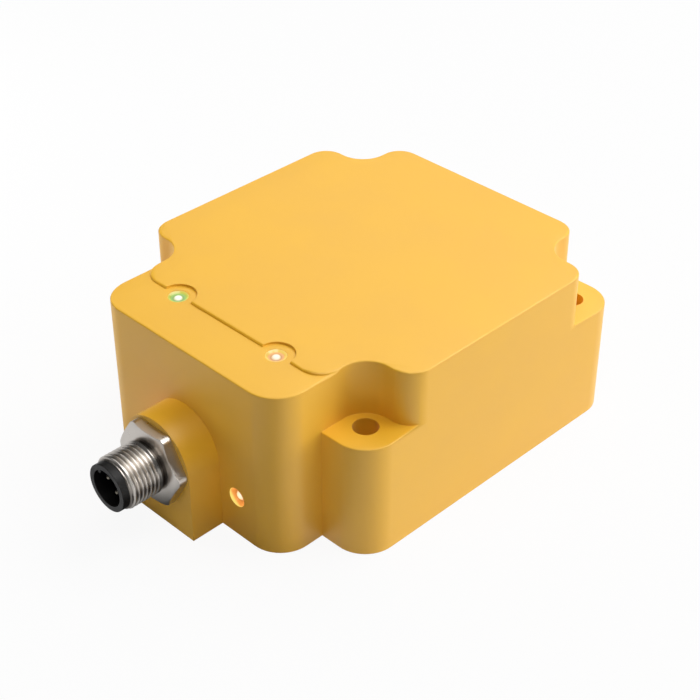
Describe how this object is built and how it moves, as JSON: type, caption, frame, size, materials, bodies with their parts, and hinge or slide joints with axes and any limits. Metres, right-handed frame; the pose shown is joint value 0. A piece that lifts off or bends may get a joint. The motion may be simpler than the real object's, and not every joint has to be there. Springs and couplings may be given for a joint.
{
  "type": "inductive proximity sensor",
  "caption": "Rectangular inductive proximity sensor with notched corners for mounting screws, indicator lamps and a threaded plug connector.",
  "frame": {"origin": "centre of the four mounting holes, on the flat mounting face", "axes": "+Z out of the sensing face, -Y along the connector, +X to the right seen from the connector side"},
  "size_m": [0.08, 0.113, 0.04],
  "materials": {
    "housing_plastic": "fine-textured moulded PBT, yellow",
    "cover_plastic": "moulded PBT, yellow",
    "board_laminate": "green solder mask on glass-fibre laminate",
    "chip_black": "moulded epoxy case",
    "capacitor_can": "bright can",
    "resistor_body": "glazed chip",
    "lamp_case": "white lamp case",
    "power_lens": "clear light guide lit green",
    "switching_lens": "clear light guide lit amber",
    "nickel": "nickel-plated brass, satin",
    "seal_rubber": "black seal",
    "carrier_black": "black glass-filled polyamide",
    "contact_gold": "gold-plated contact",
    "header_black": "black strip",
    "ferrite": "sintered ferrite",
    "former_natural": "natural nylon",
    "copper_wire": "enamelled copper wire"
  },
  "bodies": {
    "root": {"housing": "housing_plastic", "base_cover": "cover_plastic", "circuit_board": "board_laminate", "sensor_chip": "chip_black", "output_transistors": "chip_black", "smoothing_capacitors": "capacitor_can", "chip_resistors": "resistor_body", "power_leds": "lamp_case", "switching_leds": "lamp_case", "power_top_lens": "power_lens", "power_front_lens": "power_lens", "switching_top_lens": "switching_lens", "switching_front_lens": "switching_lens", "connector_shell": "nickel", "o_ring": "seal_rubber", "contact_carrier": "carrier_black", "contact_pin_1": "contact_gold", "contact_pin_2": "contact_gold", "contact_pin_3": "contact_gold", "contact_pin_4": "contact_gold", "connector_board": "board_laminate", "board_header": "header_black", "header_pins": "nickel", "ferrite_core": "ferrite", "coil_former": "former_natural", "transmit_winding": "copper_wire", "receive_winding": "copper_wire"}
  },
  "joints": []
}
